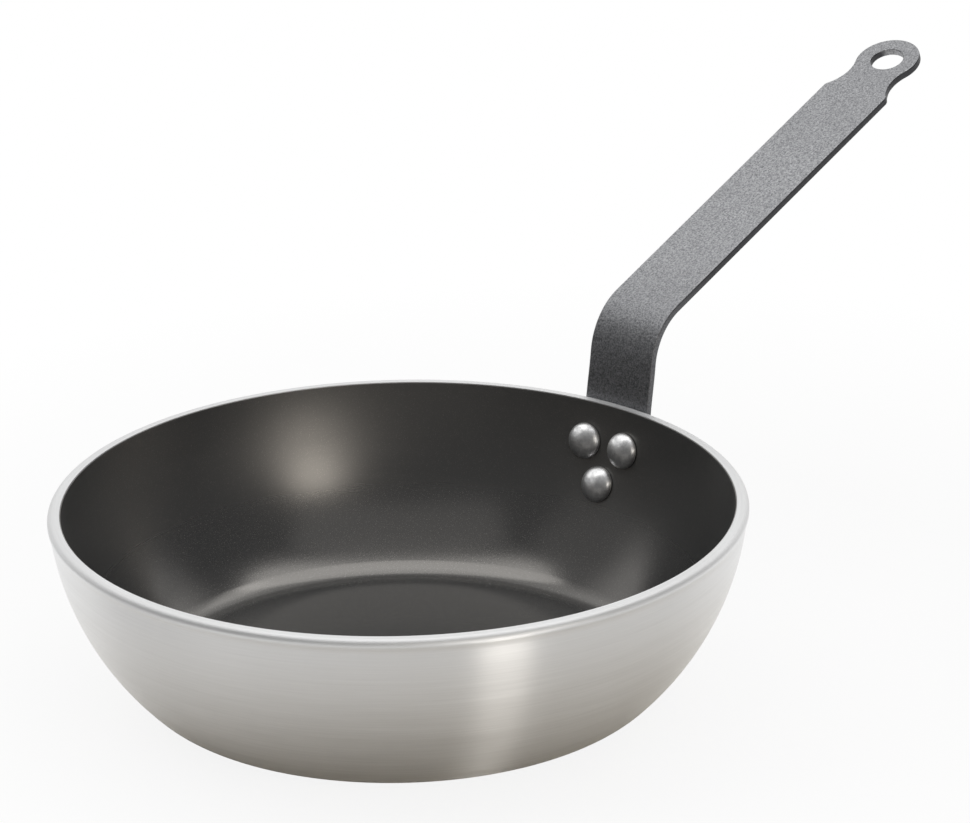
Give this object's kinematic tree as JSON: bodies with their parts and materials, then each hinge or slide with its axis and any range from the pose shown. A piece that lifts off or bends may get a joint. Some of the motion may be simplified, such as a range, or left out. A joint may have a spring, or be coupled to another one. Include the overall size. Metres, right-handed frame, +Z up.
{
  "type": "saute pan",
  "caption": "Round-walled saute pan: aluminium bowl with a dark non-stick lining and a bent strip handle, riveted on and rising to a hanging eye.",
  "frame": {"origin": "centre of the flat underside of the bowl's base", "axes": "+Z up the bowl's axis, +X along the handle, away from the bowl"},
  "size_m": [0.4115, 0.24, 0.1565],
  "materials": {
    "brushed_aluminium": "fine brushing that runs round the bowl, polished on the lip",
    "nonstick": "satin dark grey film with faint turned rings and a fine sparkle",
    "coated_steel": "mid-grey powder coat with a fine hammered grain",
    "rivet_aluminium": "formed heads, bright with small tool marks"
  },
  "bodies": {
    "root": {"pan_body": "brushed_aluminium", "nonstick_coating": "nonstick", "handle": "coated_steel", "rivet_left": "rivet_aluminium", "rivet_right": "rivet_aluminium", "rivet_lower": "rivet_aluminium"}
  },
  "joints": []
}
